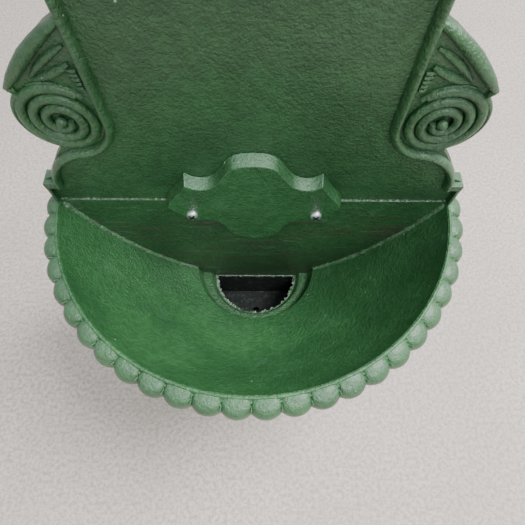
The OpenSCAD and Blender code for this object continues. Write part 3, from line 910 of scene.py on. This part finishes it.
class FOUNTAIN_OT_volutes(bpy.types.Operator):
    """Winds the two volutes and lays the leaves above them"""

    bl_idname = "fountain.volutes"
    bl_label = "Volutes"

    def execute(self, context):
        turn_x, volute_z = volute_middle()
        finish = relief_paint()
        parts = []
        for side in (1, -1):
            path, radii = [], []
            steps = 132
            for k in range(steps + 1):
                t = k / steps
                a = math.radians(180.0 + 1030.0 * t)
                r = 0.0066 + 0.0252 * t
                path.append((side * (turn_x + r * math.cos(a)), -0.0042 + 0.0022 * t,
                             volute_z + r * math.sin(a)))
                taper = 1.0 if t < 0.97 else 1.0 - 6.0 * (t - 0.97)
                radii.append((0.0029 + 0.0012 * min(1.0, t * 3.0)) * taper)
            bm = sweep(path, radii, 6)
            stretch(bm, (1.0, 0.85, 1.0))
            parts.append(bm)
            path, radii = [], []
            for k in range(41):
                t = k / 40
                a = math.radians(-70.0 + 118.0 * t)
                r = 0.0336 + 0.0010 * math.sin(math.pi * t)
                path.append((side * (turn_x + r * math.cos(a)), 0.0, volute_z + r * math.sin(a)))
                radii.append(0.0012 + 0.0014 * t)
            for x, z, size in ((0.1755, 0.1425, 0.0032), (0.1685, 0.1500, 0.0042), (0.1600, 0.1585, 0.0050),
                               (0.1500, 0.1685, 0.0052), (0.1400, 0.1770, 0.0048), (0.1300, 0.1848, 0.0042),
                               (0.1200, 0.1912, 0.0030), (0.1160, 0.1930, 0.0020)):
                path.append((side * x, 0.0, z))
                radii.append(size)
            bm = sweep(path, radii, 6)
            stretch(bm, (1.0, 1.35, 1.0))
            parts.append(bm)
            button = bmesh.new()
            bmesh.ops.create_uvsphere(button, u_segments=32, v_segments=16, radius=0.0046)
            stretch(button, (1.0, 0.85, 1.0))
            move(button, (side * turn_x, -0.0046, volute_z))
            parts.append(button)
        finish_piece("volute_spirals", join(*parts), finish, sharp=50)
        self.leaves(finish)
        return {"FINISHED"}

    def leaves(self, finish):
        """The hollow leaf over each volute, with its midrib and a fan of short ribs."""
        parts = []
        for side in (1, -1):
            for points, widths in (
                    (((0.1235, 0.1620), (0.1300, 0.1578), (0.1380, 0.1542), (0.1460, 0.1512),
                      (0.1530, 0.1488)),
                     (0.0014, 0.0030, 0.0036, 0.0028, 0.0010)),
                    (((0.1215, 0.1760), (0.1300, 0.1712), (0.1390, 0.1650), (0.1470, 0.1585),
                      (0.1545, 0.1510)),
                     (0.0012, 0.0026, 0.0032, 0.0026, 0.0010)),
                    (((0.1255, 0.1335), (0.1330, 0.1412), (0.1430, 0.1452), (0.1530, 0.1462),
                      (0.1610, 0.1440)),
                     (0.0026, 0.0022, 0.0018, 0.0014, 0.0008))):
                parts.append(sweep([(side * x, -0.0008, z) for x, z in points], list(widths), 5))
            for k in range(5):
                z = 0.1430 + 0.0036 * k
                path = [(side * 0.1190, -0.0035, z + 0.0012), (side * 0.1225, -0.0030, z + 0.0006),
                        (side * (0.1262 + 0.0006 * k), -0.0008, z)]
                parts.append(sweep(path, [0.0012, 0.0015, 0.0006], 4))
        finish_piece("volute_leaves", join(*parts), finish, sharp=50)


class FOUNTAIN_OT_pediment(bpy.types.Operator):
    """Adds the cornice, the arched moulding, the shell and the ball on top"""

    bl_idname = "fountain.pediment"
    bl_label = "Pediment"

    def execute(self, context):
        s = sizes()
        finish = relief_paint()
        half = s.panel_half + s.border + 0.011
        steps = [(0.0020, -0.0020), (0.0020, -0.0048), (0.0, -0.0060), (-0.0010, -0.0078),
                 (-0.0002, -0.0090), (0.0036, -0.0090), (0.0060, -0.0076),
                 (0.0060, 0.0119), (-0.0060, 0.0119),
                 (-0.0060, -0.0020)]
        bm = bmesh.new()
        chain = [bm.verts.new((-half, y, s.cornice + z)) for z, y in steps]
        for first, second in zip(chain, chain[1:] + chain[:1]):
            bm.edges.new((first, second))
        bmesh.ops.contextual_create(bm, geom=bm.edges[:])
        thicken(bm, (2 * half, 0.0, 0.0))
        finish_piece("cornice", bm, finish, bevel=0.0008, segments=2)

        span, rise, radius = arch_size()
        reach = math.asin(span / radius)
        path = []
        for k in range(41):
            a = math.pi / 2 + reach * (1 - 2 * k / 40)
            r = radius - 0.0040
            path.append((r * math.cos(a), s.cornice + rise - radius + r * math.sin(a)))
        bm = sweep(path, 0.0038, 6)
        stretch(bm, (1.0, 1.45, 1.0))
        parts = [bm]
        for k in range(7):
            a = math.radians(-60.0 + 20.0 * k)
            long = 0.046 - 0.010 * abs(k - 3) / 3
            path, radii = [], []
            for i in range(9):
                t = i / 8
                r = 0.012 + (long - 0.012) * t
                path.append((r * math.sin(a), 0.0, s.cornice + 0.010 + r * math.cos(a)))
                radii.append(0.0012 + 0.0030 * math.sin(math.pi / 2 * t) if i < 8 else 0.0022)
            parts.append(sweep(path, radii, 5))
        boss = bmesh.new()
        bmesh.ops.create_uvsphere(boss, u_segments=32, v_segments=16, radius=0.010)
        stretch(boss, (1.0, 0.7, 1.0))
        move(boss, (0.0, 0.0, s.cornice + 0.010))
        parts.append(boss)
        finish_piece("arch_shell", join(*parts), finish, sharp=50)

        ball = []
        for k in range(25):
            a = math.pi * k / 24
            ball.append((0.0001 + 0.0132 * math.sin(a), s.top - 0.0142 + 0.0140 * math.cos(a)))
        ball = ball[:21] + [(0.0078, s.top - 0.0268), (0.0095, s.top - 0.0285), (0.0095, s.top - 0.0300)]
        bm = turned(ball, (0.0, 0.003), math.tau, 48)
        finish_piece("finial", bm, finish, sharp=50)
        return {"FINISHED"}


class FOUNTAIN_OT_cartouche(bpy.types.Operator):
    """Cuts the shaped cartouche and drives its two screws"""

    bl_idname = "fountain.cartouche"
    bl_label = "Cartouche"

    def execute(self, context):
        outline = self.outline()
        bmesh.ops.translate(outline.bm, verts=outline.bm.verts, vec=(0.0, 0.0, -0.006))
        wider, taller, rise = 1.024, 1.034, 0.006
        stretch(outline.bm, (wider, 1.0, taller))
        move(outline.bm, (0.0, 0.0, rise))
        upper = outline.drafted(-0.014, -0.0001, 0.0026)
        bmesh.ops.bisect_plane(upper, geom=upper.verts[:] + upper.edges[:] + upper.faces[:],
                               plane_co=(0.0, 0.0, 0.0), plane_no=(0.0, 0.0, 1.0), dist=1e-6)
        for v in upper.verts:
            if v.co.z < -1e-4 and v.co.y > -0.001:
                v.co.y = -0.0021
        # Painted light and sheen: a lighter copy of the green, strongly paled on the faces that look up.
        finish_piece("cartouche_plate", upper, gloss_paint("cartouche_paint", 0.0, 0.0, 1.12, top_sheen=0.9),
                     bevel=0.0009, stands_for=("cartouche",), sharp=30)
        self.screws()
        return {"FINISHED"}

    def outline(self):
        """The cartouche's edge: a lobe above and below, scooped shoulders and pointed sides."""
        edge = [(0.0, 0.0708), (0.0100, 0.0700), (0.0145, 0.0688), (0.0190, 0.0665), (0.0230, 0.0630),
                (0.0265, 0.0585), (0.0295, 0.0530), (0.0325, 0.0480), (0.0360, 0.0430), (0.0400, 0.0392),
                (0.0445, 0.0370), (0.0490, 0.0362), (0.0540, 0.0370), (0.0590, 0.0394), (0.0642, 0.0432),
                (0.0660, 0.0392), (0.0700, 0.0330), (0.0745, 0.0262), (0.0800, 0.0188), (0.0850, 0.0120),
                (0.0873, 0.0065), (0.0868, 0.0020), (0.0820, -0.0045), (0.0760, -0.0110),
                (0.0700, -0.0180), (0.0660, -0.0250), (0.0610, -0.0228), (0.0550, -0.0212),
                (0.0500, -0.0210), (0.0440, -0.0222), (0.0395, -0.0248), (0.0355, -0.0295),
                (0.0325, -0.0350), (0.0300, -0.0415), (0.0262, -0.0478), (0.0215, -0.0528),
                (0.0160, -0.0564), (0.0100, -0.0586), (0.0, -0.0598)]
        o = Outline(*edge[0]).along(edge[1:])
        return o.mirrored()

    def screws(self):
        """Pan heads and their shanks, with black crosses on the heads as painted shade for the cross
        recesses.
        """
        across, height = 0.064, -0.008
        parts = []
        for side in (1, -1):
            head = [(0.0001, -0.0027), (0.0018, -0.0026), (0.0036, -0.0022), (0.0050, -0.0014),
                    (0.0058, -0.0004), (0.0060, 0.0004), (0.0060, 0.0024), (0.0030, 0.0024),
                    (0.0030, 0.0300), (0.0001, 0.0300)]
            bm = turned(head, (0.0, 0.0), math.tau, 40)
            swing(bm, math.radians(-90.0), "X")
            move(bm, (side * across, -0.0160, height))
            parts.append(bm)
        finish_piece("screw_heads", join(*parts), plated_steel(), sharp=40,
                     stands_for=("cartouche_screws",))
        # Painted shade: thin black bars laid on each dome stand for the shade in its cross recess, which is
        # not cut.
        recess_shade_marks = []
        for side in (1, -1):
            for k in range(2):
                bm = bmesh.new()
                bmesh.ops.create_cube(bm, size=1.0)
                stretch(bm, (0.0078, 0.0009, 0.0022))
                swing(bm, math.radians(40.0 + 90.0 * k), "Y")
                move(bm, (side * across, -0.0184, height))
                recess_shade_marks.append(bm)
        finish_piece("screw_recess_shade", join(*recess_shade_marks), black_rubber(), sharp=30)


class FOUNTAIN_OT_fasteners(bpy.types.Operator):
    """Eases the edges of the nuts, bolts and sump, and gives the washers, small screws and rubber parts
    their finishes
    """

    bl_idname = "fountain.fasteners"
    bl_label = "Sump and fasteners"

    def execute(self, context):
        steel = plated_steel()
        for node in ("cartouche_nuts", "sump_bolts", "foot_bolts"):
            softened(node, steel, 0.0005)
        for node in ("cartouche_washers", "foot_washers", "washer_screw", "handle_screw"):
            repainted(node, steel)
        softened("sump", gloss_paint("sump_paint", 0.0, 0.0, 0.95, hollow=0.0623), 0.0015)
        for node in ("sump_gasket", "tail_washer", "bonnet_gasket", "gland_packing", "valve_washer"):
            repainted(node, black_rubber())
        return {"FINISHED"}


class FOUNTAIN_OT_tap(bpy.types.Operator):
    """Finishes the brass tap and its handle"""

    bl_idname = "fountain.tap"
    bl_label = "Tap"

    def execute(self, context):
        brass = worn_brass()
        for node in ("wall_rosette", "tail_locknut", "tap_body", "bonnet", "gland_nut", "spout_nozzle"):
            softened(node, brass, 0.0006)
        softened("handle", brass, 0.0008, "spindle")
        for node in ("spindle", "jumper"):
            repainted(node, brass)
        return {"FINISHED"}


class FOUNTAIN_OT_stage(bpy.types.Operator):
    """Lays the floor, hangs the soft lights and sets up the camera"""

    bl_idname = "fountain.stage"
    bl_label = "Stage"

    def execute(self, context):
        scene = context.scene
        bm = bmesh.new()
        bmesh.ops.create_grid(bm, x_segments=8, y_segments=8, size=6.0)
        mesh = bpy.data.meshes.new("floor")
        bm.to_mesh(mesh)
        bm.free()
        mesh.materials.append(pale_floor())
        floor = bpy.data.objects.new("floor", mesh)
        scene.collection.objects.link(floor)
        self.lights(scene)
        self.camera(scene)
        return {"FINISHED"}

    def lights(self, scene):
        """A broad lamp high on the right, a fill from the front and a pale surround."""
        world = bpy.data.worlds.new("studio")
        world.use_nodes = True
        world.node_tree.nodes["Background"].inputs["Color"].default_value = (0.93, 0.97, 1.0, 1.0)
        world.node_tree.nodes["Background"].inputs["Strength"].default_value = 0.80
        scene.world = world
        for name, spot, aim, size, power in (
                ("overhead", (1.15, 0.15, 2.30), (0.0, -0.05, 0.25), 1.3, 122.0),
                ("front_fill", (0.60, -1.90, 2.30), (0.0, 0.0, 0.25), 1.8, 56.0)):
            light = bpy.data.lights.new(name, "AREA")
            light.shape = "DISK"
            light.size = size
            light.energy = power
            lamp = bpy.data.objects.new(name, light)
            lamp.location = spot
            lamp.rotation_euler = (Vector(aim) - Vector(spot)).to_track_quat("-Z", "Y").to_euler()
            scene.collection.objects.link(lamp)

    def camera(self, scene):
        """Looks steeply down into the bowl from above its front edge."""
        data = bpy.data.cameras.new("camera")
        data.sensor_width = 36.0
        data.lens = 28.07
        data.clip_start = 0.01
        camera = bpy.data.objects.new("camera", data)
        pitch, yaw, roll = (math.radians(v) for v in (65.135, 0.583, 0.849))
        ahead = Vector((math.sin(yaw) * math.cos(pitch), math.cos(yaw) * math.cos(pitch), -math.sin(pitch)))
        right = ahead.cross(Vector((0.0, 0.0, 1.0))).normalized()
        up = right.cross(ahead)
        side = right * math.cos(roll) + up * math.sin(roll)
        top = up * math.cos(roll) - right * math.sin(roll)
        turn = Matrix((side, top, -ahead)).transposed()
        camera.matrix_world = Matrix.Translation(place(0.0072, -0.2379, 0.3570)) @ turn.to_4x4()
        scene.collection.objects.link(camera)
        scene.camera = camera


class FOUNTAIN_PT_panel(bpy.types.Panel):
    """Lists the fountain's pieces, sizes and colours."""

    bl_idname = "FOUNTAIN_PT_panel"
    bl_label = "Fountain"
    bl_space_type = "VIEW_3D"
    bl_region_type = "UI"
    bl_category = "Fountain"

    def draw(self, context):
        layout = self.layout
        for operator in OPERATORS:
            layout.operator(operator.bl_idname)
        for group in (context.scene.fountain_sizes, context.scene.fountain_colours):
            box = layout.box()
            for key in type(group).__annotations__:
                box.prop(group, key)


OPERATORS = (FOUNTAIN_OT_basin, FOUNTAIN_OT_gadroons, FOUNTAIN_OT_back_plate, FOUNTAIN_OT_border,
             FOUNTAIN_OT_volutes, FOUNTAIN_OT_pediment, FOUNTAIN_OT_cartouche, FOUNTAIN_OT_fasteners,
             FOUNTAIN_OT_tap, FOUNTAIN_OT_stage)
CLASSES = (FountainSizes, FountainColours) + OPERATORS + (FOUNTAIN_PT_panel,)


def register():
    for cls in CLASSES:
        bpy.utils.register_class(cls)
    bpy.types.Scene.fountain_sizes = bpy.props.PointerProperty(type=FountainSizes)
    bpy.types.Scene.fountain_colours = bpy.props.PointerProperty(type=FountainColours)


def unregister():
    del bpy.types.Scene.fountain_sizes
    del bpy.types.Scene.fountain_colours
    for cls in reversed(CLASSES):
        bpy.utils.unregister_class(cls)


def main():
    register()
    for operator in OPERATORS:
        group, name = operator.bl_idname.split(".")
        getattr(getattr(bpy.ops, group), name)()


if __name__ == "__main__":
    main()
